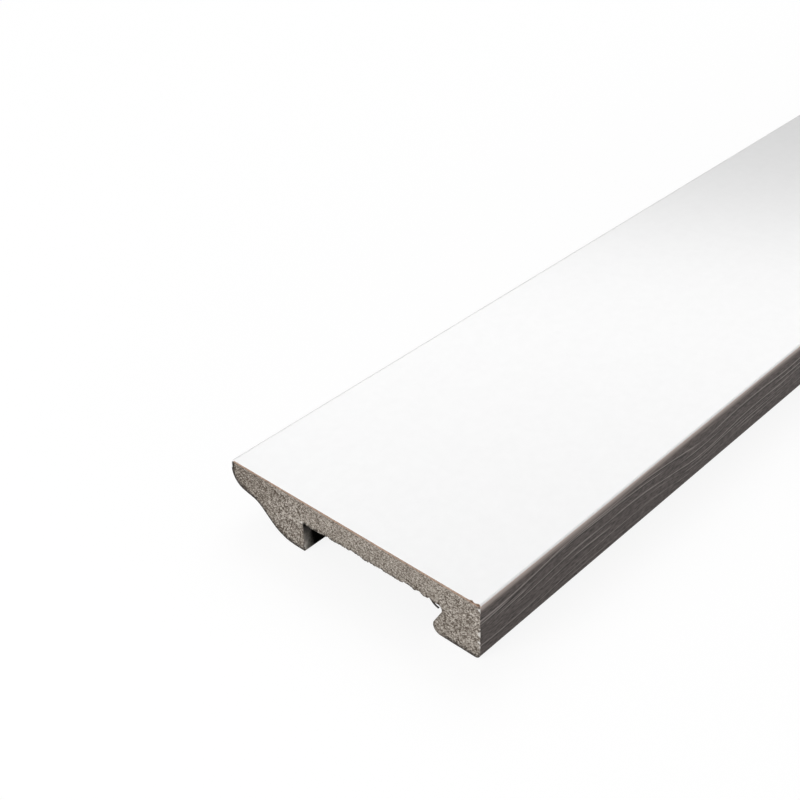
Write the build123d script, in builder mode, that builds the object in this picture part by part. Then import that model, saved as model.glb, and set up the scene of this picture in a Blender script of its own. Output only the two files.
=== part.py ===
from build123d import *
import os
from math import radians, tan

# Skirting board: an extruded foam moulding with a white film bonded to its face.
# It lies on its back with the face up. X runs along the board, Y from the floor edge
# to the top edge, and Z from the wall plane to the face. The origin is on the wall
# plane, under the middle of the face. Lengths are in millimetres, angles in degrees.

# Stock size
board_length = 2400.0
face_height = 80.0  # floor edge to top edge
overall_depth = 16.0  # face to wall

# Film on the face, turned over both of its edges
film_thickness = 0.35
film_turn_floor = 0.8  # how far it comes down the floor edge
film_turn_top = 2.5  # how far it comes down the top edge
floor_arris_radius = 0.45
top_arris_radius = 1.2

# Lip along the top edge, which stands clear of the wall
lip_depth = 7.0
lip_slope = 12.0
lip_radius = 5.0

# Ogee from the back of the lip down to the upper rib
ogee_slope = 42.0
ogee_setback = 16.7  # top edge to where the slope meets the wall plane
ogee_hollow_radius = 6.0
ogee_round_radius = 12.0

# Web behind the face, and the two ribs that touch the wall on each side of the channel
web_thickness = 7.0
upper_rib_foot = 8.3
upper_rib_tip_radius = 0.6
upper_root_radius = 0.8
lower_rib_foot = 15.3
lower_rib_undercut = 30.0
lower_rib_tip_radius = 2.2
lower_root_radius = 1.2
heel_radius = 1.5

# Heights of the section's corners above the floor edge
ogee_foot_height = face_height - ogee_setback
channel_top_height = ogee_foot_height - upper_rib_foot
channel_depth = overall_depth - web_thickness
channel_root_height = lower_rib_foot - channel_depth * tan(radians(lower_rib_undercut))

# The back of the lip and the ogee are two sloping lines that cross at the hollow
lip_fall = tan(radians(lip_slope))
ogee_fall = tan(radians(ogee_slope))
hollow_drop = (ogee_setback * ogee_fall - (overall_depth - lip_depth)) / (ogee_fall - lip_fall)
hollow_height = face_height - hollow_drop
hollow_depth = lip_depth + hollow_drop * lip_fall


def section_point(height, depth):
    """Section coordinates of a point at a height up the face and a depth behind it."""
    return (height - face_height / 2, overall_depth - depth)


# Corners of the whole section, clockwise from the floor edge of the face, with their radii
section_corners = {
    section_point(0, 0): floor_arris_radius,
    section_point(face_height, 0): top_arris_radius,
    section_point(face_height, lip_depth): lip_radius,
    section_point(hollow_height, hollow_depth): ogee_hollow_radius,
    section_point(ogee_foot_height, overall_depth): ogee_round_radius,
    section_point(channel_top_height, overall_depth): upper_rib_tip_radius,
    section_point(channel_top_height, web_thickness): upper_root_radius,
    section_point(channel_root_height, web_thickness): lower_root_radius,
    section_point(lower_rib_foot, overall_depth): lower_rib_tip_radius,
    section_point(0, overall_depth): heel_radius,
}

# Film: a strip of even thickness along the face and over its two arrises
with BuildPart() as face_film:
    with BuildSketch(Plane.YZ) as film_section:
        with BuildLine():
            FilletPolyline(
                section_point(0, film_turn_floor),
                section_point(0, 0),
                section_point(face_height, 0),
                section_point(face_height, film_turn_top),
                radius=[floor_arris_radius, top_arris_radius],
            )
            offset(amount=film_thickness, side=Side.RIGHT)
        make_face()
    extrude(amount=board_length / 2, both=True)
face_film.part.label = "face_film"

# Core: the whole section less the strip that the film takes up
with BuildPart() as moulded_core:
    with BuildSketch(Plane.YZ) as core_section:
        with BuildLine():
            FilletPolyline(*section_corners, radius=section_corners.values(), close=True)
        make_face()
        add(film_section.sketch_local, mode=Mode.SUBTRACT)
    extrude(amount=board_length / 2, both=True)
moulded_core.part.label = "moulded_core"

os.makedirs("parts", exist_ok=True)
export_step(face_film.part, "parts/face_film.step")
export_step(moulded_core.part, "parts/moulded_core.step")

print(f"face film {face_film.part.volume / 1000:.1f} cm3")
print(f"moulded core {moulded_core.part.volume / 1000:.1f} cm3, section {core_section.sketch.area:.1f} mm2")
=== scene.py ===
# %% [markdown]
# # A foam skirting board with a white face
# A skirting board like this is extruded: foamed polystyrene is pushed through a die, so one
# section runs the whole length. A white film is bonded to the face, and the board is sawn to
# length, which opens the foam's cells at both ends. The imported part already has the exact
# section, so this scene starts from it and adds what the die, the saw and the trimmer leave.

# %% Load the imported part
import math

import bmesh
import bpy
from mathutils import Matrix, Vector, kdtree, noise


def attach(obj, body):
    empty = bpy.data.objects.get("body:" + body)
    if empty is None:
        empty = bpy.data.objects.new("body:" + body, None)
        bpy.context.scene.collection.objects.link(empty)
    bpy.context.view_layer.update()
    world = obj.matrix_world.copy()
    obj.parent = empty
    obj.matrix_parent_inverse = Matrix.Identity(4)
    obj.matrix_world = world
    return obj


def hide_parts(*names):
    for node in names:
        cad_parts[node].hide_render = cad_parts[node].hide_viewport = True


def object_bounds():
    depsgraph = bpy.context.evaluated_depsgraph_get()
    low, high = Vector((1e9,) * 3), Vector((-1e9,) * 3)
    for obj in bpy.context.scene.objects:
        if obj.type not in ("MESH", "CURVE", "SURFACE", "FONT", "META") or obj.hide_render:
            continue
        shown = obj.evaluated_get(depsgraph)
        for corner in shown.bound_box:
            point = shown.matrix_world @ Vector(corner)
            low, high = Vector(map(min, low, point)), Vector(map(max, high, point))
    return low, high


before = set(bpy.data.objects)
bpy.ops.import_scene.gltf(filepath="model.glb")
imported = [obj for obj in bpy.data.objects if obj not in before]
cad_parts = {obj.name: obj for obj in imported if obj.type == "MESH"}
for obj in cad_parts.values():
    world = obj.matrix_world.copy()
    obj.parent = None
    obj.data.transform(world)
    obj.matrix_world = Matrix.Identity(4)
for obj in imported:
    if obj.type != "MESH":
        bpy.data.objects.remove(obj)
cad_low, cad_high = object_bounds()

MM = 0.001
half_length = cad_high.x
face_level = cad_high.z
floor_side = cad_low.y


def measured(place):
    """A place in mm: in from the near cut, up from the floor edge and behind the face."""
    return (place.x + half_length) / MM, (place.y - floor_side) / MM, (face_level - place.z) / MM


print("board, mm:", [round(side / MM, 2) for side in cad_high - cad_low])

# %% [markdown]
# ## The moulding
# The moulding is one solid with a die-smooth skin along it and open foam at its sawn ends.
# The section could be drawn again here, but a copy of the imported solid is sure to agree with
# it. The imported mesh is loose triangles, so the copy is merged and its flat triangles are
# joined into whole faces. The facets of its curves are then bevelled, which rounds them.

# %% Copy the moulding and round its curves
MERGE_GAP = 0.001 * MM
FLAT_ANGLE = math.radians(0.5)
CURVE_ANGLES = (math.radians(3), math.radians(25))


def solid_copy(node_name):
    """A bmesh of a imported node, with its loose triangles joined into whole faces."""
    solid = bmesh.new()
    solid.from_mesh(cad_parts[node_name].data)
    bmesh.ops.remove_doubles(solid, verts=solid.verts, dist=MERGE_GAP)
    bmesh.ops.dissolve_limit(solid, angle_limit=FLAT_ANGLE, verts=solid.verts, edges=solid.edges)
    return solid


def round_curves(solid):
    """Bevels the long edges between the facets of a curve, so that it turns in finer steps."""
    along = [edge for edge in solid.edges if edge.calc_length() > half_length]
    facets = [edge for edge in along if CURVE_ANGLES[0] < edge.calc_face_angle() < CURVE_ANGLES[1]]
    bmesh.ops.bevel(
        solid, geom=facets, offset=33, offset_type="PERCENT", segments=2, profile=0.5,
        affect="EDGES", material=-1,
    )
    return len(facets)


moulding = solid_copy("moulded_core")
print("moulding facets rounded:", round_curves(moulding), "faces:", len(moulding.faces))

# %% [markdown]
# ## Cutting the ends into a fine grid
# Open foam needs real relief, and relief needs vertices. Only the sawn ends show it, so the
# rest of the board keeps its few long faces. Planes across the board first mark off a short
# zone at each end, and planes up and across the section then cut that zone into small squares.

# %% Slice the board near its ends
SLICE_DEPTHS = (0.25, 0.6, 1.1, 2.0, 6.0, 20.0)


def cut(solid, pieces, point, normal):
    """Cuts some faces of a solid along a plane."""
    edges = {edge for face in pieces for edge in face.edges}
    verts = {vert for face in pieces for vert in face.verts}
    geom = [*pieces, *edges, *verts]
    bmesh.ops.bisect_plane(solid, geom=geom, dist=MERGE_GAP / 10, plane_co=point, plane_no=normal)


def slice_ends(solid):
    """Slices across the board, closer together towards the sawn ends."""
    for depth in SLICE_DEPTHS:
        for side in (-1, 1):
            place = Vector((side * (half_length - depth * MM), 0, 0))
            cut(solid, solid.faces[:], place, Vector((1, 0, 0)))


slice_ends(moulding)
print("moulding faces after slicing:", len(moulding.faces))

# %% Cut the end zones into squares
GRID_PITCH = 0.2
GRID_SHIFT = 0.35
ZONE_DEPTH = 1.1 * MM


def end_zone(solid):
    """The faces that lie within the fine zone at either end."""
    limit = half_length - ZONE_DEPTH
    return [face for face in solid.faces if abs(face.calc_center_bounds().x) > limit]


def grid_ends(solid, pitch):
    """Cuts the end zones into squares of a pitch in millimetres."""
    for axis in (1, 2):
        normal = Vector([float(axis == index) for index in range(3)])
        steps = int((cad_high[axis] - cad_low[axis]) / (pitch * MM))
        for step in range(1, steps):
            place = normal * (cad_low[axis] + (step + GRID_SHIFT) * pitch * MM)
            cut(solid, end_zone(solid), place, normal)


grid_ends(moulding, GRID_PITCH)
print("moulding faces after cutting:", len(moulding.faces))

# %% [markdown]
# ## Four kinds of surface
# The moulding shows four surfaces: the skin that the die left, the skin inside the clip channel,
# painted nearly black for the shade there, the sawn foam of the ends, and the brown adhesive that
# shows on top where the film has chipped off, painted darker for the shade under the broken film.
# They are told apart by where a face lies and points. The outline of the sawn ends goes into a
# tree that can be searched by distance, because the foam is darker near the skin: partly the
# dense skin, partly painted shade along the feet and near the top edge.

# %% Sort the faces and keep the outline
CORE_SKIN, SAWN_FOAM, SHADED_BARE_GLUE, CHANNEL_SHADED_SKIN = range(4)
CHANNEL_SPAN = (9.0, 55.1)
WEB_DEPTH = 7.0
FOOT_DEPTH = 15.8
FACING = 0.9
SLACK = 0.1
FLAT_SPAN = 30
pit_layer = moulding.verts.layers.float.new("pit")
skin_and_shade_layer = moulding.verts.layers.float.new("skin")
core_top = max(vert.co.z for vert in moulding.verts if abs(vert.co.y) < FLAT_SPAN * MM)

for face in moulding.faces:
    middle = face.calc_center_bounds()
    _, up, behind = measured(middle)
    if abs(face.normal.x) > FACING:
        face.material_index = SAWN_FOAM
    elif face.normal.z > FACING and middle.z > core_top - SLACK * MM:
        face.material_index = SHADED_BARE_GLUE
    elif CHANNEL_SPAN[0] < up < CHANNEL_SPAN[1] and WEB_DEPTH - SLACK < behind < FOOT_DEPTH:
        face.material_index = CHANNEL_SHADED_SKIN
    else:
        face.material_index = CORE_SKIN

sawn = {vert for face in moulding.faces if face.material_index == SAWN_FOAM for vert in face.verts}
outline = {vert for vert in sawn if any(f.material_index != SAWN_FOAM for f in vert.link_faces)}
outline_tree = kdtree.KDTree(len(outline))
for index, vert in enumerate(outline):
    outline_tree.insert(vert.co, index)
outline_tree.balance()
print("sawn vertices:", len(sawn), "of which on the outline:", len(outline))

# %% [markdown]
# ## Opening the foam
# A saw tears through the cells instead of slicing them cleanly. What is left is a tangle of
# torn cell walls with pits between them, drawn out a little along the saw's path. Bump in the
# material would fade from the side, so the grid's vertices are really pushed in, by noise that
# is turned and stretched to the saw's path. The thin web and lip cooled fast, and so did the foam
# under the film, so the cells there are shallower than in the ribs. How deep each vertex lies is
# kept on the mesh as an attribute, and so is how near it is to the skin: colour follows both.
# At the near end a crease and three holes go deeper, just above where the web is torn worst.

# %% Shape the pits
PIT_SIZE, PIT_SPREAD = 0.28, 0.5
BEND_SIZE, BEND_AMOUNT = 1.3, 0.4
CLUMP_SIZE, CLUMP_AMOUNT = 2.6, 0.1
CELL_RANGE, RANGE_CHANGES = 0.85, (((10, 14), -0.3), ((53, 57), 0.55), ((63, 68), -0.35))
CELL_LEVEL, LEVEL_CHANGES = 0.5, (((54, 60), 0.07), ((64, 72), 0.1))
FILM_SPAN, FILM_SHARE = (0.5, 3), 0.6
SAW_STRETCH = 1.6
SAW_ANGLE = math.radians(27)
saw_turn = Matrix.Rotation(SAW_ANGLE, 3, "X")


def smooth_step(low, high, value):
    """Goes from 0 at low to 1 at high, with a soft start and end."""
    share = min(max((value - low) / (high - low), 0), 1)
    return share * share * (3 - 2 * share)


def changed(start, changes, up):
    """A value that starts at the floor edge and changes over some spans up the face."""
    return start + sum(change * smooth_step(*span, up) for span, change in changes)


def foam_pit(place):
    """How deep the foam lies at a place on a sawn end, from 0 on a wall to 1 in a pit."""
    spot = saw_turn @ (place / MM)
    spot.y /= SAW_STRETCH
    bend = noise.noise_vector(spot / BEND_SIZE)
    cells = noise.noise(spot / PIT_SIZE + BEND_AMOUNT * bend)
    clump = noise.noise(spot / CLUMP_SIZE)
    _, up, behind = measured(place)
    coarse = changed(CELL_RANGE, RANGE_CHANGES, up)
    coarse *= FILM_SHARE + (1 - FILM_SHARE) * smooth_step(*FILM_SPAN, behind)
    share = smooth_step(-PIT_SPREAD, PIT_SPREAD, cells + CLUMP_AMOUNT * clump)
    return changed(CELL_LEVEL, LEVEL_CHANGES, up) + coarse * (share - 0.5)


print("pit size along and across the saw's path, mm:", PIT_SIZE * SAW_STRETCH, PIT_SIZE)

# %% Find the crease, the holes and the skin
CREASE_START, CREASE_END = (16, 17.5), (22, 23.5)
CREASE_UP, CREASE_BEHIND = 19, 6.0
CREASE_SLOPE, CREASE_WIDTH = 0.18, 0.22
CREASE_BEND_SIZE, CREASE_BEND = 1.8, 0.15
CREASE_BREAK_SIZE, CREASE_BREAK = 0.9, (-0.4, 0.0)
TORN_HOLES = ((15.5, 6.6, 0.3), (13.6, 7.0, 0.35), (12.0, 6.8, 0.3))
FLOOR_SKIN, FLOOR_SKIN_SPAN = 0.8, (12.5, 15)
LOWER_RIB_SKIN, LOWER_RIB_TOP = 0.45, 30
WEB_SKIN, WEB_PATCHES, WEB_SKIN_SPAN = 0.1, 0.25, (10.5, 54)
PAST_CORNER, PAST_PATCHES, CORNER_SPAN = 0.35, 0.3, (15, 17)
PATCH_SIZE, PATCH_EDGE = 0.7, (-0.15, 0.2)


def torn_pit(up, behind):
    """How deep the crease and the holes above the torn lip are, from 0 to 1."""
    span = smooth_step(*CREASE_START, up) * (1 - smooth_step(*CREASE_END, up))
    bend = CREASE_BEND * noise.noise(Vector((up / CREASE_BEND_SIZE, 4.4, 0.0)))
    middle = CREASE_BEHIND - CREASE_SLOPE * (up - CREASE_UP) + bend
    broken = smooth_step(*CREASE_BREAK, noise.noise(Vector((up / CREASE_BREAK_SIZE, 6.1, 0.0))))
    deepest = span * broken * math.exp(-(((behind - middle) / CREASE_WIDTH) ** 2))
    for hole_up, hole_behind, wide in TORN_HOLES:
        away = math.hypot(up - hole_up, behind - hole_behind)
        deepest = max(deepest, math.exp(-((away / wide) ** 2)))
    return deepest


def skin_left(edge):
    """How much of the dark skin is left at a place on the outline, from 0 to 1."""
    _, up, behind = measured(edge)
    if edge.z > core_top - SLACK * MM:
        return 0
    if up < SLACK:
        return FLOOR_SKIN * smooth_step(*FLOOR_SKIN_SPAN, behind)
    on_rib = behind > WEB_DEPTH + 1
    if on_rib and WEB_SKIN_SPAN[0] < up < LOWER_RIB_TOP:
        return LOWER_RIB_SKIN
    if on_rib or not WEB_SKIN_SPAN[0] < up < WEB_SKIN_SPAN[1]:
        return 1
    patchy = smooth_step(*PATCH_EDGE, noise.noise(edge / (PATCH_SIZE * MM)))
    past = (PAST_CORNER + PAST_PATCHES * patchy) * smooth_step(*CORNER_SPAN, up)
    return WEB_SKIN + WEB_PATCHES * patchy + past


print("torn holes:", len(TORN_HOLES))

# %% Push the pits in
PIT_DEPTH = 0.3
TORN_DEPTH = 1.5
OUTLINE_DEPTH, OUTLINE_REACH = 0.05, 0.15
SKIN_REACH = 0.4
WALL_SHADE_SPAN, WALL_SHADE_REACH = (12.5, 15.8), 0.45
TOP_SHADE_SPAN, TOP_SHADE_REACH = (66, 76), 0.4

for vert in sawn:
    edge, _, distance = outline_tree.find(vert.co)
    rim = distance / MM
    _, up, behind = measured(vert.co)
    # The dark rim is the dense skin; its reach widens along the feet by the wall and near the top edge
    # as painted shade, where those edges turn from the light.
    reach = SKIN_REACH + WALL_SHADE_REACH * smooth_step(*WALL_SHADE_SPAN, behind)
    reach += TOP_SHADE_REACH * smooth_step(*TOP_SHADE_SPAN, up)
    vert[skin_and_shade_layer] = skin_left(edge) * math.exp(-((rim / reach) ** 2))
    torn = torn_pit(up, behind) if vert.co.x < 0 else 0
    vert[pit_layer] = max(foam_pit(vert.co), TORN_DEPTH * torn)
    depth = PIT_DEPTH if rim > OUTLINE_REACH else OUTLINE_DEPTH
    vert.co.x -= math.copysign(depth * vert[pit_layer] * MM, vert.co.x)
pits = [vert[pit_layer] * PIT_DEPTH for vert in sawn]
print("pits, mean and deepest, mm:", round(sum(pits) / len(pits), 3), round(max(pits), 2))

# %% [markdown]
# ## The torn web
# The saw leaves the board through the thin web, and there the foam tears instead of cutting:
# the web is left with a ragged lip, partly broken out and partly hanging. The lip only moves
# vertices that the grid already has, by a few broad tears and by noise along the edge. The move
# fades about a millimetre in from the cut, so the rest of the web keeps the die's flat back, and
# up the sawn face, so that its squares are squeezed instead of folding over.

# %% Tear the lip of the near end's web
web_back = face_level - WEB_DEPTH * MM
WEB_SPAN = (11, 54.5)
TEAR_REACH = 1.1
TEAR_RISE = 1.5
BACK_SLACK = 0.02
TORN_START, TORN_END = (11, 14), (47, 50)
WAVE_SIZE, WAVE_AMOUNT = 3.1, 0.12
LUMP_SIZE, LUMP_AMOUNT, LUMP_LEVEL, LUMP_POWER = 1.1, 0.4, 0.35, 0.7
RAG_SIZE, RAG_AMOUNT = 0.45, 0.25
TEARS = (
    (52, 3, 0.3), (46.4, 0.4, -0.3), (38.3, 1.7, -0.45), (34.5, 0.6, 0.2), (29.2, 0.9, -0.3),
    (21.3, 1.8, -0.45), (17.9, 0.7, -0.5), (14.8, 0.4, -0.4),
)


def tear_depth(up):
    """How far the torn lip hangs below the web, in millimetres, at a height up the face."""
    torn = smooth_step(*TORN_START, up) * (1 - smooth_step(*TORN_END, up))
    waves = WAVE_AMOUNT * noise.noise(Vector((up / WAVE_SIZE, 1.9, 0.0)))
    lumps = abs(noise.noise(Vector((up / LUMP_SIZE, 3.7, 0.0)))) ** LUMP_POWER
    rags = RAG_AMOUNT * noise.noise(Vector((up / RAG_SIZE, 8.1, 0.0)))
    broad = sum(deep * math.exp(-(((up - at) / wide) ** 2)) for at, wide, deep in TEARS)
    return torn * (waves + rags + LUMP_AMOUNT * (lumps - LUMP_LEVEL)) + broad


hangs = []
for vert in moulding.verts:
    from_cut, up, _ = measured(vert.co)
    above = (vert.co.z - web_back) / MM
    if from_cut < TEAR_REACH and WEB_SPAN[0] < up < WEB_SPAN[1] and -BACK_SLACK < above < TEAR_RISE:
        fade = (1 - smooth_step(0, TEAR_REACH, from_cut)) * (1 - above / TEAR_RISE)
        hangs.append(tear_depth(up))
        vert.co.z -= hangs[-1] * fade * MM
print("torn lip, highest and lowest, mm:", round(min(hangs), 2), round(max(hangs), 2))

# %% [markdown]
# ## A hanging sliver and crumbs
# Where the tear is worst, a sliver of the web's skin hangs off, and crumbs of foam still cling
# to the lip. The sliver is a short edge swept round a wide arc with spin and then given its
# thickness. A crumb is a small ball with its vertices pushed about by noise. Both start inside
# the lip, and they join the moulding's mesh because they are still part of it.

# %% Hang the sliver
SLIVER_MIDDLE = (11.6, 4.85, 0.05)
SLIVER_WIDTH = 0.4
SLIVER_RADIUS = 3.4
SLIVER_START = math.radians(-35)
SLIVER_TURN = math.radians(-48)
SLIVER_STEPS = 10
SLIVER_THICKNESS = 0.16


def on_end(up, behind, from_cut=0.0):
    """A point of the near end: up the face, behind the face and in from the cut, in mm."""
    return Vector((-half_length + from_cut * MM, floor_side + up * MM, face_level - behind * MM))


def join(solid, name):
    """Adds a small closed bmesh to the moulding."""
    bmesh.ops.recalc_face_normals(solid, faces=solid.faces)
    mesh = bpy.data.meshes.new(name)
    solid.to_mesh(mesh)
    solid.free()
    moulding.from_mesh(mesh)


sliver = bmesh.new()
sliver_middle = on_end(*SLIVER_MIDDLE)
sliver_arm = Vector((0, math.cos(SLIVER_START), math.sin(SLIVER_START))) * SLIVER_RADIUS * MM
bmesh.ops.create_vert(sliver, co=sliver_middle + sliver_arm)
bmesh.ops.create_vert(sliver, co=sliver_middle + sliver_arm + Vector((SLIVER_WIDTH * MM, 0, 0)))
bmesh.ops.contextual_create(sliver, geom=sliver.verts[:])
bmesh.ops.spin(
    sliver, geom=[*sliver.verts, *sliver.edges], axis=(1, 0, 0), dvec=(0, 0, 0),
    cent=sliver_middle, angle=SLIVER_TURN, steps=SLIVER_STEPS,
)
bmesh.ops.solidify(sliver, geom=sliver.faces[:], thickness=SLIVER_THICKNESS * MM)
print("sliver faces:", len(sliver.faces))
join(sliver, "sliver")

# %% Cling the crumbs
CRUMBS = ((14.1, 6.95), (15.8, 6.8), (19.6, 6.5))
CRUMB_RADIUS = 0.35
CRUMB_INSET = 1.3
BUMP_SIZE = 0.3
BUMP_LEVEL, BUMP_AMOUNT = 0.75, 0.5

for up, behind in CRUMBS:
    crumb = bmesh.new()
    middle = on_end(up, behind, CRUMB_RADIUS * CRUMB_INSET)
    start = Matrix.Translation(middle)
    bmesh.ops.create_icosphere(crumb, subdivisions=3, radius=CRUMB_RADIUS * MM, matrix=start)
    for vert in crumb.verts:
        swell = BUMP_LEVEL + BUMP_AMOUNT * noise.noise(vert.co / (BUMP_SIZE * MM))
        vert.co = middle + (vert.co - middle) * swell
    join(crumb, "crumb")
print("crumbs:", len(CRUMBS), "moulding faces:", len(moulding.faces))

# %% [markdown]
# ## The chipped floor edge
# Where the sawn end meets the floor side, the brittle skin breaks off in small chips. Fresh
# foam shows in them and is much paler than the skin. The corner's vertices are pulled in where
# noise along the edge says so and at one bigger chip near the film. An attribute keeps how fresh
# each vertex is, for the colour. Two small spots beside the channel are bruised and as pale.

# %% Chip the floor edge of the near end
CHIP_SPACING = 0.8
CHIP_EDGE = (0.05, 0.4)
CHIP_WIDTH, CHIP_PULL = 0.9, 0.3
CHIPS_END = (11.5, 14)
BIG_CHIP = (1.7, 0.45)
SKIN_HOLD = 4.0
FRESH_EDGE = 0.2
CHIPPED_FROM, CHIPPED_TO = 0.5, 2
CORNER_SLACK = 0.05
SPOT_SHARE = 0.8
FRESH_SPOTS = ((55.6, 7.2, 0.5), (54.9, 14.2, 0.6))
fresh_layer = moulding.verts.layers.float.new("fresh")


def chip_width(behind):
    """How wide the broken corner is, in millimetres, at a depth behind the face."""
    small = smooth_step(*CHIP_EDGE, noise.noise(Vector((3.3, behind / CHIP_SPACING, 1.7))))
    big = math.exp(-(((behind - BIG_CHIP[0]) / BIG_CHIP[1]) ** 2))
    return CHIP_WIDTH * (small * (1 - smooth_step(*CHIPS_END, behind)) + big)


for vert in moulding.verts:
    from_cut, up, behind = measured(vert.co)
    if behind < CHIPPED_FROM or up > CHIPPED_TO or from_cut > TEAR_REACH:
        continue
    width = chip_width(behind)
    hold = 0 if vert[pit_layer] > 0 else SKIN_HOLD
    vert[fresh_layer] = smooth_step(0, FRESH_EDGE, width - max(up, hold * from_cut))
    if up < CORNER_SLACK:
        pull = CHIP_PULL * width * (1 - smooth_step(0, TEAR_REACH, from_cut)) * MM
        vert.co.y += pull
        vert.co.x += pull

for vert in moulding.verts:
    for up, behind, radius in FRESH_SPOTS:
        away = (vert.co - on_end(up, behind)).length / MM
        pale = SPOT_SHARE * smooth_step(radius, radius / 2, away)
        vert[fresh_layer] = max(vert[fresh_layer], pale)
print("fresh vertices:", sum(vert[fresh_layer] > 0.5 for vert in moulding.verts))

# %% [markdown]
# ## The face film
# The film is a white plastic foil with a brown adhesive coat under it, wrapped over both edges
# of the face and sawn through with the board. Its cut edge is the thin brown line along the top
# of the sawn end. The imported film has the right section, so a copy is cut fine near the ends,
# its cut edge is split into white over brown, and two chips are broken out near the corner.

# %% Cut the film and split its sawn edge
WHITE_FILM, FILM_UNDERCOAT = range(2)
WHITE_DEPTH = 0.05
FILM_PITCH = 0.25
FILM_ARRIS = 1.2
film = solid_copy("face_film")
slice_ends(film)
grid_ends(film, FILM_PITCH)
split_level = face_level - WHITE_DEPTH * MM
cut_edges = [face for face in film.faces if abs(face.normal.x) > FACING]
cut(film, cut_edges, Vector((0, 0, split_level)), Vector((0, 0, 1)))
turn_start = cad_high.y - FILM_ARRIS * MM
for face in film.faces:
    middle = face.calc_center_bounds()
    brown = abs(face.normal.x) > FACING and middle.z < split_level and middle.y < turn_start
    face.material_index = FILM_UNDERCOAT if brown else WHITE_FILM
print("film faces:", len(film.faces))

# %% Break two chips out of the film
FILM_CHIPS = ((0.5, 0.5, 0.35), (2.4, 0.4, 0.3))
FILM_CHIPS_END = 6
RAGGED_SIZE, RAGGED_AMOUNT = 0.7, 0.3


def film_chip(up):
    """How far the film is broken back from the near cut, in millimetres."""
    ragged = 1 + RAGGED_AMOUNT * noise.noise(Vector((up / RAGGED_SIZE, 5.2, 2.2)))
    return ragged * sum(deep * math.exp(-(((up - at) / wide) ** 2)) for at, wide, deep in FILM_CHIPS)


chips = []
for vert in film.verts:
    from_cut, up, _ = measured(vert.co)
    if from_cut < TEAR_REACH and up < FILM_CHIPS_END:
        chips.append(film_chip(up))
        vert.co.x += chips[-1] * (1 - smooth_step(0, TEAR_REACH, from_cut)) * MM
print("deepest film chip, mm:", round(max(chips), 2))

# %% [markdown]
# ## From bmesh to objects
# Each finished bmesh becomes one object at the origin. All faces are smooth, edges that turn
# sharply are marked sharp, and a Weighted Normal modifier lets the long flat faces set their
# own shading, so that a narrow curve beside them doesn't bend it.

# %% Make the two objects
SHARP_ANGLE = math.radians(32)


def make_piece(name, solid, node_name):
    """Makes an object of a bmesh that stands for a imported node."""
    mesh = bpy.data.meshes.new(name)
    solid.to_mesh(mesh)
    solid.free()
    mesh.shade_smooth()
    mesh.set_sharp_from_angle(angle=SHARP_ANGLE)
    piece = bpy.data.objects.new(name, mesh)
    bpy.context.scene.collection.objects.link(piece)
    weighted = piece.modifiers.new("flat faces lead", "WEIGHTED_NORMAL")
    weighted.keep_sharp = True
    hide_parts(node_name)
    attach(piece, "root")
    print(name, "faces:", len(mesh.polygons))
    return piece


foam_moulding = make_piece("foam_moulding", moulding, "moulded_core")
white_film = make_piece("white_film", film, "face_film")

# %% [markdown]
# ## Helpers for materials
# Every colour is an sRGB hex value, as a colour picker shows it, and one function turns it to
# the linear values that Cycles works in. Another small function adds a node, sets what is
# plain and links what comes from other nodes, so that a material reads as a list of its nodes.

# %% Define the helpers


def linear(hex_colour):
    """Linear RGBA of an sRGB hex colour such as "A57D64"."""
    parts = [int(hex_colour[at:at + 2], 16) / 255 for at in (0, 2, 4)]
    return (*[c / 12.92 if c <= 0.04045 else ((c + 0.055) / 1.055) ** 2.4 for c in parts], 1.0)


def add(tree, kind, inputs=None, **settings):
    """Adds a node with its settings, and sets or links its inputs."""
    made = tree.nodes.new("ShaderNode" + kind)
    for name, value in settings.items():
        setattr(made, name, value)
    for name, value in (inputs or {}).items():
        if isinstance(value, bpy.types.NodeSocket):
            tree.links.new(value, made.inputs[name])
        else:
            made.inputs[name].default_value = value
    return made


def new_material(name):
    """A new material and its node tree, emptied."""
    material = bpy.data.materials.new(name)
    material.use_nodes = True
    material.node_tree.nodes.clear()
    return material, material.node_tree


print("white is", [round(part, 3) for part in linear("FFFFFF")])

# %% [markdown]
# ## Sawn polystyrene foam
# Recycled polystyrene foam is grey-brown and matt. A saw leaves pale torn cell walls and pits,
# and the pits, the crease and the holes are painted dark for the shade in them, so the eye sees a
# coarse speckle with no shine. The speckle follows the pit attribute, and finer noise, stretched
# along the saw's path, breaks it up. The foam is darker along the skin, partly from the dense
# skin and partly as painted shade along the feet and near the top edge, and brown just under the
# film, where the adhesive coat has run into the open cells.

# %% Sawn foam: the speckle, with painted shade in the pits
POLYSTYRENE_IOR = 1.59
GRIT_SIZE = Vector((0.18, 0.55, 0.18))
GRIT_WEIGHT = 1.8
PIT_SHADE_RANGE, PALE_WALLS = (1.35, 1.95), (1.45, 0.85)
FRESH_FOAM = "EAE6E1"
sawn_foam, tree = new_material("sawn polystyrene foam")
place = add(tree, "TexCoord").outputs["Object"]
pit = add(tree, "Attribute", attribute_name="pit").outputs["Fac"]
along_saw = {"Vector": place, "Rotation": (-SAW_ANGLE, 0, 0), "Scale": GRIT_SIZE * MM}
grit_place = add(tree, "Mapping", along_saw, vector_type="TEXTURE").outputs["Vector"]
grain = {"Vector": grit_place, "Scale": 1.0, "Detail": 1.0}
grit = add(tree, "TexNoise", grain).outputs["Fac"]
rough_pit = add(tree, "Math", {0: grit, 1: GRIT_WEIGHT, 2: pit}, operation="MULTIPLY_ADD").outputs[0]
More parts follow.
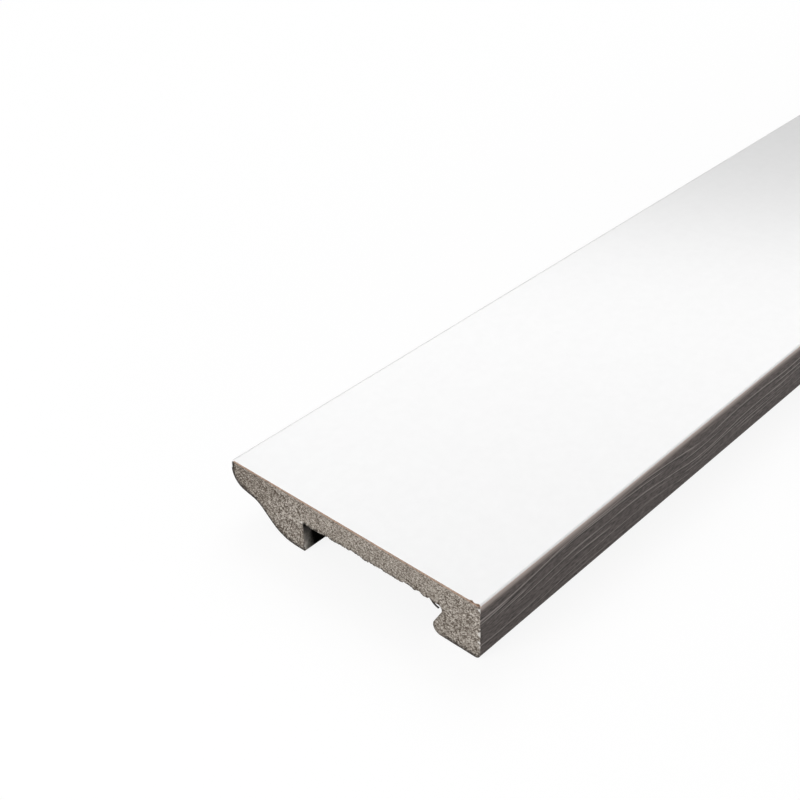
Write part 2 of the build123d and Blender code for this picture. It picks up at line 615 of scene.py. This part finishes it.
# The dark end of the speckle is painted shade in the pits, the crease and the holes.
pit_shade_range = {"Value": rough_pit, "From Min": PIT_SHADE_RANGE[0], "From Max": PIT_SHADE_RANGE[1]}
pit_shade_share = add(tree, "MapRange", pit_shade_range).outputs["Result"]
pale_range = {"Value": rough_pit, "From Min": PALE_WALLS[0], "From Max": PALE_WALLS[1]}
pale_share = add(tree, "MapRange", pale_range).outputs["Result"]
pit_shade_mix = {0: pit_shade_share, 6: linear("8F867C"), 7: linear("4E4339")}
body = add(tree, "Mix", pit_shade_mix, data_type="RGBA").outputs[2]
speckle_mix = {0: pale_share, 6: body, 7: linear("D3CBC1")}
speckle = add(tree, "Mix", speckle_mix, data_type="RGBA").outputs[2]
print("speckle nodes:", len(tree.nodes))

# %% Sawn foam: the brown stain, the dark skin line with painted shade, and the fresh chips
STAIN_REACH = 0.7
BLOTCH_SIZE = 0.6
STAIN_EDGE = (0.08, 0.3)
SKIN_AND_SHADE_STRENGTH = 0.9
height = add(tree, "SeparateXYZ", {"Vector": place}).outputs["Z"]
stain_range = {"Value": height, "From Min": core_top - STAIN_REACH * MM, "From Max": core_top}
stain_height = add(tree, "MapRange", stain_range).outputs["Result"]
patches = {"Vector": place, "Scale": 1 / (BLOTCH_SIZE * MM), "Detail": 1.0}
blotch = add(tree, "TexNoise", patches).outputs["Fac"]
stain_level = add(tree, "Math", {0: stain_height, 1: blotch}, operation="MULTIPLY").outputs[0]
stain_edge = {"Value": stain_level, "From Min": STAIN_EDGE[0], "From Max": STAIN_EDGE[1]}
stain_share = add(tree, "MapRange", stain_edge).outputs["Result"]
stain_mix = {0: stain_share, 6: speckle, 7: linear("B3947F")}
stained = add(tree, "Mix", stain_mix, data_type="RGBA").outputs[2]
skin = add(tree, "Attribute", attribute_name="skin").outputs["Fac"]
skin_and_shade_share = add(tree, "Math", {0: skin, 1: SKIN_AND_SHADE_STRENGTH}, operation="MULTIPLY").outputs[0]
# The skin attribute darkens the foam: the dense skin, plus painted shade where its reach widens.
skin_and_shade_mix = {0: skin_and_shade_share, 6: stained, 7: linear("2A2522")}
skin_and_shade_rimmed = add(tree, "Mix", skin_and_shade_mix, data_type="RGBA").outputs[2]
fresh = add(tree, "Attribute", attribute_name="fresh").outputs["Fac"]
chip_mix = {0: fresh, 6: skin_and_shade_rimmed, 7: linear(FRESH_FOAM)}
chipped = add(tree, "Mix", chip_mix, data_type="RGBA").outputs[2]
relief = {"Height": grit, "Strength": 0.5, "Distance": 0.15 * MM}
bump = add(tree, "Bump", relief).outputs["Normal"]
foam_look = {"Base Color": chipped, "Roughness": 0.9, "IOR": POLYSTYRENE_IOR}
shader = add(tree, "BsdfPrincipled", {**foam_look, "Specular IOR Level": 0.3, "Normal": bump})
add(tree, "OutputMaterial", {"Surface": shader.outputs["BSDF"]})
print("sawn foam nodes:", len(tree.nodes))

# %% [markdown]
# ## Extruded polystyrene skin
# The die presses the foam to a dense dark skin with a slight sheen. Grit that sticks in the die
# drags long thin lines along the board. They rise and fall together as the board leaves the die,
# and each one fades in and out. A stripe texture would space them evenly, so a Voronoi texture
# in one dimension sets where they lie: the borders of its cells are the lines, unevenly spaced.
# Each line has a painted shadow beside it, a darker line, and near the wall they are rubbed away.

# %% Skin: where the drag lines run
WAVE_LENGTH = 75
SPLIT_LENGTH, SPLIT_HEIGHT = 60, 4.0
core_skin, tree = new_material("extruded polystyrene skin")
place = add(tree, "TexCoord").outputs["Object"]
axes = add(tree, "SeparateXYZ", {"Vector": place})
across = add(tree, "Math", {0: axes.outputs["Z"], 1: axes.outputs["Y"]}, operation="ADD").outputs[0]
wave_noise = {"W": axes.outputs["X"], "Scale": 1 / (WAVE_LENGTH * MM), "Detail": 1.0}
wave = add(tree, "TexNoise", wave_noise, noise_dimensions="1D").outputs["Fac"]
split_size = (1 / (SPLIT_LENGTH * MM), 1 / (SPLIT_HEIGHT * MM), 1 / (SPLIT_HEIGHT * MM))
print("drag lines rise and fall over, mm:", WAVE_LENGTH)

# %% Skin: the drag lines
# Each set of lines: spacing, wave height, shift, the noise level where lines start to show, and
# the length over which they come and go
LINE_SETS = ((3.4, 8.0, 7.0, 0.44, 90), (2.6, 6.5, 19.0, 0.53, 40), (1.7, 7.0, 31.0, 0.58, 20))
SPLIT_AMOUNT = 3.0
FADE_WIDTH = 0.12
LINE_WIDTH = 0.4
SHADOW_STEP = 0.45
lines = line_shadows = 0.0
for spacing, wave_height, shift, fade_start, fade_length in LINE_SETS:
    rise = {0: wave, 1: wave_height * MM, 2: across}
    waved = add(tree, "Math", rise, operation="MULTIPLY_ADD").outputs[0]
    split_place = add(tree, "Mapping", {"Vector": place, "Scale": split_size, "Location": (shift, 0, 0)})
    split_noise = {"Vector": split_place.outputs["Vector"], "Scale": 1.0, "Detail": 0.0}
    split = add(tree, "TexNoise", split_noise).outputs["Fac"]
    wander = {0: split, 1: SPLIT_AMOUNT * MM, 2: waved}
    level = add(tree, "Math", wander, operation="MULTIPLY_ADD").outputs[0]
    fade_size = (1 / (fade_length * MM), 1 / (spacing * MM), 1 / (spacing * MM))
    fade_place = add(tree, "Mapping", {"Vector": place, "Scale": fade_size, "Location": (0, shift, 0)})
    fade_noise = {"Vector": fade_place.outputs["Vector"], "Scale": 1.0, "Detail": 0.0}
    fade_level = add(tree, "TexNoise", fade_noise).outputs["Fac"]
    fade_edge = {"Value": fade_level, "From Min": fade_start, "From Max": fade_start + FADE_WIDTH}
    fade = add(tree, "MapRange", fade_edge).outputs["Result"]
    marks = []
    # The shifted second mark is the painted shadow beside each line.
    for step in (0.0, SHADOW_STEP):
        stepped = add(tree, "Math", {0: level, 1: step * MM}, operation="ADD").outputs[0]
        cells = {"W": stepped, "Scale": 1 / (spacing * MM), "Randomness": 1.0}
        border = add(tree, "TexVoronoi", cells, voronoi_dimensions="1D", feature="DISTANCE_TO_EDGE")
        half_line = LINE_WIDTH / 2 / spacing
        edge = {"Value": border.outputs["Distance"], "From Min": half_line, "From Max": 0.0}
        mark = add(tree, "MapRange", edge).outputs["Result"]
        marks.append(add(tree, "Math", {0: mark, 1: fade}, operation="MULTIPLY").outputs[0])
    lines = add(tree, "Math", {0: marks[0], 1: lines}, operation="MAXIMUM").outputs[0]
    line_shadows = add(tree, "Math", {0: marks[1], 1: line_shadows}, operation="MAXIMUM").outputs[0]
print("sets of drag lines:", len(LINE_SETS))

# %% Skin: rub the drag lines away near the wall
RUBBED_FROM, RUBBED_TO = 1, 5
rubbed_from, rubbed_to = cad_low.z + RUBBED_FROM * MM, cad_low.z + RUBBED_TO * MM
rubbed_low = {"Value": axes.outputs["Z"], "From Min": rubbed_from, "From Max": rubbed_to}
kept = add(tree, "MapRange", rubbed_low).outputs["Result"]
lines = add(tree, "Math", {0: lines, 1: kept}, operation="MULTIPLY").outputs[0]
line_shadows = add(tree, "Math", {0: line_shadows, 1: kept}, operation="MULTIPLY").outputs[0]
print("drag line nodes:", len(tree.nodes))

# %% [markdown]
# ## The trimmed band
# Along the floor edge the film was trimmed after it was wrapped, and the trimmer took the skin
# off with it in a narrow band, which shows pale foam and has an uneven, streaky lower edge. It
# is a change of colour more than of shape, so the height makes it, shifted by stretched noise.

# %% Skin: colours by place
BAND_DEPTH = 2.35
BAND_WANDER = 4.0
BAND_BELOW, BAND_ABOVE = 0.7, 1.0
BAND_TURN = 0.7
GRAIN_LENGTH, GRAIN_SIZE = 1.8, 0.45
STREAK_LENGTH, STREAK_SIZE = 25, 0.7
grain_size = (1 / (GRAIN_LENGTH * MM), 1 / (GRAIN_SIZE * MM), 1 / (GRAIN_SIZE * MM))
grain_place = add(tree, "Mapping", {"Vector": place, "Scale": grain_size}).outputs["Vector"]
fine = add(tree, "TexNoise", {"Vector": grain_place, "Scale": 1.0, "Detail": 2.0}).outputs["Fac"]
fine_share = add(tree, "MapRange", {"Value": fine, "From Min": 0.25, "From Max": 0.75}).outputs["Result"]
base_mix = {0: fine_share, 6: linear("2A2523"), 7: linear("665E5B")}
base = add(tree, "Mix", base_mix, data_type="RGBA").outputs[2]
# Painted shadow beside each drag line.
line_shadow_mix = {0: line_shadows, 6: base, 7: linear("24211F")}
line_shadowed = add(tree, "Mix", line_shadow_mix, data_type="RGBA").outputs[2]
line_mix = {0: lines, 6: line_shadowed, 7: linear("948C88")}
lined = add(tree, "Mix", line_mix, data_type="RGBA").outputs[2]
streak_size = (1 / (STREAK_LENGTH * MM), 1 / (STREAK_SIZE * MM), 1 / (STREAK_SIZE * MM))
streak_place = add(tree, "Mapping", {"Vector": place, "Scale": streak_size}).outputs["Vector"]
streak = add(tree, "TexNoise", {"Vector": streak_place, "Scale": 1.0, "Detail": 2.0}).outputs["Fac"]
lift = {0: streak, 1: BAND_WANDER * MM, 2: axes.outputs["Z"]}
lifted = add(tree, "Math", lift, operation="MULTIPLY_ADD").outputs[0]
band_low = face_level + (BAND_WANDER / 2 - BAND_DEPTH) * MM
band_from, band_to = band_low - BAND_BELOW * MM, band_low + BAND_ABOVE * MM
band_edge = {"Value": lifted, "From Min": band_from, "From Max": band_to}
above = add(tree, "MapRange", band_edge).outputs["Result"]
side_test = {0: axes.outputs["Y"], 1: floor_side + BAND_TURN * MM}
at_side = add(tree, "Math", side_test, operation="LESS_THAN").outputs[0]
band = add(tree, "Math", {0: above, 1: at_side}, operation="MULTIPLY").outputs[0]
rub_from = face_level - BAND_DEPTH * MM
rub_range = {"Value": axes.outputs["Z"], "From Min": rub_from, "From Max": face_level}
rub = add(tree, "MapRange", rub_range).outputs["Result"]
rub_mix = {0: rub, 6: linear("6F6560"), 7: linear("BAAEA8")}
rubbed = add(tree, "Mix", rub_mix, data_type="RGBA").outputs[2]
band_mix = {0: band, 6: lined, 7: rubbed}
banded = add(tree, "Mix", band_mix, data_type="RGBA").outputs[2]
print("skin nodes so far:", len(tree.nodes))

# %% Skin: the fresh chips and the shader
fresh = add(tree, "Attribute", attribute_name="fresh").outputs["Fac"]
chip_mix = {0: fresh, 6: banded, 7: linear(FRESH_FOAM)}
chipped = add(tree, "Mix", chip_mix, data_type="RGBA").outputs[2]
GRAIN_RELIEF = 0.4
grain_relief = {0: fine_share, 1: GRAIN_RELIEF, 2: lines}
relief_level = add(tree, "Math", grain_relief, operation="MULTIPLY_ADD").outputs[0]
relief = {"Height": relief_level, "Strength": 0.4, "Distance": 0.1 * MM}
bump = add(tree, "Bump", relief).outputs["Normal"]
skin_look = {"Base Color": chipped, "Roughness": 0.6, "IOR": POLYSTYRENE_IOR}
shader = add(tree, "BsdfPrincipled", {**skin_look, "Specular IOR Level": 0.12, "Normal": bump})
add(tree, "OutputMaterial", {"Surface": shader.outputs["BSDF"]})
print("skin nodes:", len(tree.nodes))

# %% [markdown]
# ## Channel skin in painted shade and light
# Inside the channel the skin is painted nearly black for the shade in that recess, and it has no
# sheen at all. Just behind the cut, most of it near the channel's mouth, painted light for what
# falls in at the open end fades it to grey over the last few millimetres.

# %% Channel skin: painted shade, and painted light near the cut
LIT_REACH, LIT_PAST = 3.2, 1
LIT_POWER = 1.6
LIT_WOBBLE_SIZE, LIT_WOBBLE_AMOUNT = 1.2, 2
MOUTH_FROM, MOUTH_TO = 1, 2
channel_shaded_skin, tree = new_material("channel skin in painted shade and light")
place = add(tree, "TexCoord").outputs["Object"]
axes = add(tree, "SeparateXYZ", {"Vector": place})
along = add(tree, "Math", {0: axes.outputs["X"]}, operation="ABSOLUTE").outputs[0]
lit_wobble_noise = {"Vector": place, "Scale": 1 / (LIT_WOBBLE_SIZE * MM), "Detail": 2.0}
lit_wobble = add(tree, "TexNoise", lit_wobble_noise).outputs["Fac"]
lit_wobble_shift = {0: lit_wobble, 1: LIT_WOBBLE_AMOUNT * MM, 2: along}
ragged = add(tree, "Math", lit_wobble_shift, operation="MULTIPLY_ADD").outputs[0]
lit_end = half_length + LIT_PAST * MM
lit_range = {"Value": ragged, "From Min": lit_end - LIT_REACH * MM, "From Max": lit_end}
painted_light = add(tree, "MapRange", lit_range).outputs["Result"]
thinned = add(tree, "Math", {0: painted_light, 1: LIT_POWER}, operation="POWER").outputs[0]
mouth_from, mouth_to = web_back - MOUTH_FROM * MM, cad_low.z + MOUTH_TO * MM
mouth_edge = {"Value": axes.outputs["Z"], "From Min": mouth_from, "From Max": mouth_to}
mouth = add(tree, "MapRange", mouth_edge).outputs["Result"]
painted_light_share = add(tree, "Math", {0: thinned, 1: mouth}, operation="MULTIPLY").outputs[0]
# Near black is painted shade in the channel; the pale colour is painted light falling in at the cut and
# the mouth.
shade_and_light_mix = {0: painted_light_share, 6: linear("141211"), 7: linear("F0E8DE")}
shade_and_light = add(tree, "Mix", shade_and_light_mix, data_type="RGBA").outputs[2]
channel_look = {"Base Color": shade_and_light, "Roughness": 1.0, "IOR": POLYSTYRENE_IOR}
shader = add(tree, "BsdfPrincipled", {**channel_look, "Specular IOR Level": 0.0})
add(tree, "OutputMaterial", {"Surface": shader.outputs["BSDF"]})
print("channel skin nodes:", len(tree.nodes))

# %% [markdown]
# ## White vinyl film
# The face film is calendered vinyl: a flat even white with a satin shine that shows a blurred
# lamp. Bonding it to foam leaves a faint orange peel, a few millimetres wide and very shallow.
# Where the film turns over the floor edge, its white gives way to a dull taupe within a
# millimetre: partly a scuff from the trimmer, partly painted shade where the edge turns from the light.

# %% White film
VINYL_IOR = 1.53
PEEL_SIZE = 2.5
SCUFF_SHADE_DEPTH = 0.15
SCUFF_SHADE_FADE = 0.4
SCUFF_SHADE_TURN = 0.5
film_white, tree = new_material("white vinyl film")
place = add(tree, "TexCoord").outputs["Object"]
axes = add(tree, "SeparateXYZ", {"Vector": place})
peel_noise = {"Vector": place, "Scale": 1 / (PEEL_SIZE * MM), "Detail": 2.0}
peel = add(tree, "TexNoise", peel_noise).outputs["Fac"]
white_mix = {0: peel, 6: linear("F7F7F7"), 7: linear("FBFBFB")}
white = add(tree, "Mix", white_mix, data_type="RGBA").outputs[2]
scuff_shade_top = face_level - SCUFF_SHADE_DEPTH * MM
scuff_shade_low = scuff_shade_top - SCUFF_SHADE_FADE * MM
scuff_shade_edge = {"Value": axes.outputs["Z"], "From Min": scuff_shade_top, "From Max": scuff_shade_low}
scuff_shade_level = add(tree, "MapRange", scuff_shade_edge).outputs["Result"]
side_test = {0: axes.outputs["Y"], 1: floor_side + SCUFF_SHADE_TURN * MM}
at_side = add(tree, "Math", side_test, operation="LESS_THAN").outputs[0]
scuff_and_shade = add(tree, "Math", {0: scuff_shade_level, 1: at_side}, operation="MULTIPLY").outputs[0]
# The taupe over the floor edge is partly a trimmer scuff and partly painted shade.
scuff_and_shade_mix = {0: scuff_and_shade, 6: white, 7: linear("AD998E")}
tint = add(tree, "Mix", scuff_and_shade_mix, data_type="RGBA").outputs[2]
relief = {"Height": peel, "Strength": 0.04, "Distance": 0.05 * MM}
bump = add(tree, "Bump", relief).outputs["Normal"]
film_look = {"Base Color": tint, "Roughness": 0.19, "IOR": VINYL_IOR, "Normal": bump}
shader = add(tree, "BsdfPrincipled", film_look)
add(tree, "OutputMaterial", {"Surface": shader.outputs["BSDF"]})
print("white film nodes:", len(tree.nodes))

# %% [markdown]
# ## Brown adhesive coat
# The adhesive coat is a hot melt, which dries to a dull red-brown. Sawing smears it, so it is
# blotchy at about the size of the foam's cells. Where the film has chipped off, a skin of it is
# left on the foam, and that is darker than the thin line of the film's cut edge: partly the
# residue, partly painted shade under the film's broken edge.

# %% Adhesive coat, and the materials of both objects
GLUE_IOR = 1.5
SMEAR_SIZE = 0.8
SMEAR_EDGE = (0.35, 0.65)
# The bare adhesive's darker colours are partly painted shade under the broken film.
COAT_COLOURS = {"brown adhesive coat": ("967F6E", "BEA592"), "bare adhesive in painted shade": ("55412F", "8A6C55")}
coats = []
for name, (dark, pale) in COAT_COLOURS.items():
    coat, tree = new_material(name)
    place = add(tree, "TexCoord").outputs["Object"]
    smears = {"Vector": place, "Scale": 1 / (SMEAR_SIZE * MM), "Detail": 2.0}
    blotch = add(tree, "TexNoise", smears).outputs["Fac"]
    spread_edge = {"Value": blotch, "From Min": SMEAR_EDGE[0], "From Max": SMEAR_EDGE[1]}
    spread = add(tree, "MapRange", spread_edge).outputs["Result"]
    tint_mix = {0: spread, 6: linear(dark), 7: linear(pale)}
    tint = add(tree, "Mix", tint_mix, data_type="RGBA").outputs[2]
    shader = add(tree, "BsdfPrincipled", {"Base Color": tint, "Roughness": 0.8, "IOR": GLUE_IOR})
    add(tree, "OutputMaterial", {"Surface": shader.outputs["BSDF"]})
    coats.append(coat)
undercoat, shaded_bare_glue = coats

for material in (core_skin, sawn_foam, shaded_bare_glue, channel_shaded_skin):
    foam_moulding.data.materials.append(material)
for material in (film_white, undercoat):
    white_film.data.materials.append(material)
print("materials:", [material.name for material in bpy.data.materials])

# %% [markdown]
# ## Floor
# The board lies on a white floor. Lit paper would look grey beside the white face, so most of
# what the camera sees of the floor is its own white, and the rest is lit as usual, which keeps
# the board's shadow.

# %% Floor
FLOOR_WIDTH = 16
FLOOR_GLOW = 1.06
GLOW_SHARE = 0.83
FLOOR_DROP = 0.05
floor_level = cad_low.z - FLOOR_DROP * MM


def flat_sheet(name, stand):
    """A flat square of a metre, put in place by a matrix."""
    solid = bmesh.new()
    bmesh.ops.create_grid(solid, x_segments=1, y_segments=1, size=0.5)
    bmesh.ops.transform(solid, verts=solid.verts, matrix=stand)
    mesh = bpy.data.meshes.new(name)
    solid.to_mesh(mesh)
    solid.free()
    sheet = bpy.data.objects.new(name, mesh)
    bpy.context.scene.collection.objects.link(sheet)
    return sheet


floor_size = Matrix.Diagonal((FLOOR_WIDTH, FLOOR_WIDTH, 1, 1))
floor = flat_sheet("floor", Matrix.Translation((0, 0, floor_level)) @ floor_size)


def seen_share(tree, share):
    """A share for the rays that the camera, a shine or a clear piece sees, and 0 for light."""
    path = add(tree, "LightPath")
    seen = path.outputs["Is Camera Ray"]
    for ray in ("Is Glossy Ray", "Is Transmission Ray"):
        seen = add(tree, "Math", {0: seen, 1: path.outputs[ray]}, operation="MAXIMUM").outputs[0]
    return add(tree, "Math", {0: seen, 1: share}, operation="MULTIPLY").outputs[0]


floor_white, tree = new_material("white studio floor")
shadowed = add(tree, "BsdfDiffuse", {"Color": linear("F4F4F4")}).outputs["BSDF"]
glow_look = {"Color": linear("FFFFFF"), "Strength": FLOOR_GLOW}
glow = add(tree, "Emission", glow_look).outputs["Emission"]
white_share = seen_share(tree, GLOW_SHARE)
mix = add(tree, "MixShader", {0: white_share, 1: shadowed, 2: glow}).outputs["Shader"]
add(tree, "OutputMaterial", {"Surface": mix})
floor.data.materials.append(floor_white)
print("floor level, mm:", round(floor_level / MM, 3))

# %% [markdown]
# ## Light
# The world looks white and gives a weak, even light. A softbox far behind the board is what the
# satin film shines with, so the face is brightest where it mirrors that softbox and falls off
# towards the far end. A second softbox, in front of the sawn end, lights it. A third one, low
# beside the floor edge, keeps the film white where it turns over that edge.

# %% Light
WORLD_STRENGTH = 0.3
BACK_BEARING = 36
SHINE_PLACE = 0.15
world = bpy.data.worlds.new("studio")
bpy.context.scene.world = world
world.use_nodes = True
tree = world.node_tree
tree.nodes.clear()
dim_look = {"Color": linear("FFFFFF"), "Strength": WORLD_STRENGTH}
dim = add(tree, "Background", dim_look).outputs["Background"]
white_look = {"Color": linear("FFFFFF"), "Strength": 1.0}
white = add(tree, "Background", white_look).outputs["Background"]
mix = add(tree, "MixShader", {0: seen_share(tree, 1.0), 1: dim, 2: white}).outputs["Shader"]
add(tree, "OutputWorld", {"Surface": mix})


def soft_box(name, aim, bearing, rise, distance, size, power):
    """An oblong lamp that stands at a bearing, a rise (degrees) and a distance (m) from its aim."""
    turn, lift = math.radians(bearing), math.radians(rise)
    towards = Vector((math.cos(turn) * math.cos(lift), math.sin(turn) * math.cos(lift), math.sin(lift)))
    lamp = bpy.data.lights.new(name, "AREA")
    lamp.shape = "RECTANGLE"
    lamp.size, lamp.size_y = size
    lamp.energy = power
    made = bpy.data.objects.new(name, lamp)
    made.location = aim + towards * distance
    made.rotation_euler = (-towards).to_track_quat("-Z", "Y").to_euler()
    bpy.context.scene.collection.objects.link(made)


near_end = Vector((-half_length, 0, face_level))
shine_spot = near_end + Vector((SHINE_PLACE, 0, 0))
soft_box(
    "back_softbox", shine_spot, bearing=BACK_BEARING, rise=45.3, distance=1.9, size=(1.4, 1.3),
    power=17.1,
)
soft_box("front_softbox", near_end, bearing=168, rise=22, distance=0.8, size=(0.5, 0.5), power=3.6)
soft_box("side_softbox", shine_spot, bearing=280, rise=7, distance=1.2, size=(0.8, 0.25), power=4.0)
print("lamps:", [lamp.name for lamp in bpy.data.lights])

# %% [markdown]
# ## A black card
# A white object on white loses its edges. Photographers stand a black card outside the picture,
# so that a shiny rim mirrors it and draws a thin grey line. This card stands beyond the board,
# low enough to leave the softbox clear, and only reflections see it.

# %% Black card
CARD_DISTANCE = 3.0
CARD_MIDDLE = 0.68
CARD_WIDTH, CARD_HEIGHT = 3.4, 1.36
card_bearing = math.radians(BACK_BEARING)
upright = Matrix.Rotation(math.radians(90), 4, "X")
card_turn = Matrix.Rotation(card_bearing - math.radians(90), 4, "Z") @ upright
card_place = shine_spot + CARD_DISTANCE * Vector((math.cos(card_bearing), math.sin(card_bearing), 0))
card_place.z = CARD_MIDDLE
card_size = Matrix.Diagonal((CARD_WIDTH, CARD_HEIGHT, 1, 1))
card = flat_sheet("black_card", Matrix.Translation(card_place) @ card_turn @ card_size)
card.visible_camera = False
card.visible_diffuse = False
card.visible_shadow = False
card_black, tree = new_material("black card")
matt = add(tree, "BsdfDiffuse", {"Color": linear("1C1C1C")}).outputs["BSDF"]
add(tree, "OutputMaterial", {"Surface": matt})
card.data.materials.append(card_black)
print("card place, m:", [round(part, 2) for part in card_place])

# %% [markdown]
# ## Camera
# The camera stands at the photograph's viewing angle. Its place, aim, roll and lens come from the
# vanishing points of the board's long edges and of its sawn end, fitted to the board's corners.
# It aims at a point of the face near the sawn end.

# %% Camera
FOCAL_PIXELS = 1320.22
IMAGE_PIXELS = 800
CAMERA_PLACE = Vector((-1357.85, -172.19, 209.72))
CAMERA_AIM = Vector((-1154.396, 25.4215, 16.0))
CAMERA_ROLL = math.radians(-2.304)
camera_data = bpy.data.cameras.new("camera")
camera_data.sensor_width = 36
camera_data.lens = FOCAL_PIXELS / IMAGE_PIXELS * camera_data.sensor_width
camera_data.clip_start = 0.01
camera = bpy.data.objects.new("camera", camera_data)
bpy.context.scene.collection.objects.link(camera)
aimed = (CAMERA_AIM - CAMERA_PLACE).to_track_quat("-Z", "Y").to_matrix().to_4x4()
rolled = Matrix.Rotation(CAMERA_ROLL, 4, "Z")
camera.matrix_world = Matrix.Translation(CAMERA_PLACE * MM) @ aimed @ rolled
bpy.context.scene.camera = camera
bpy.context.scene.view_settings.view_transform = "Standard"
print("lens, mm:", round(camera_data.lens, 2))
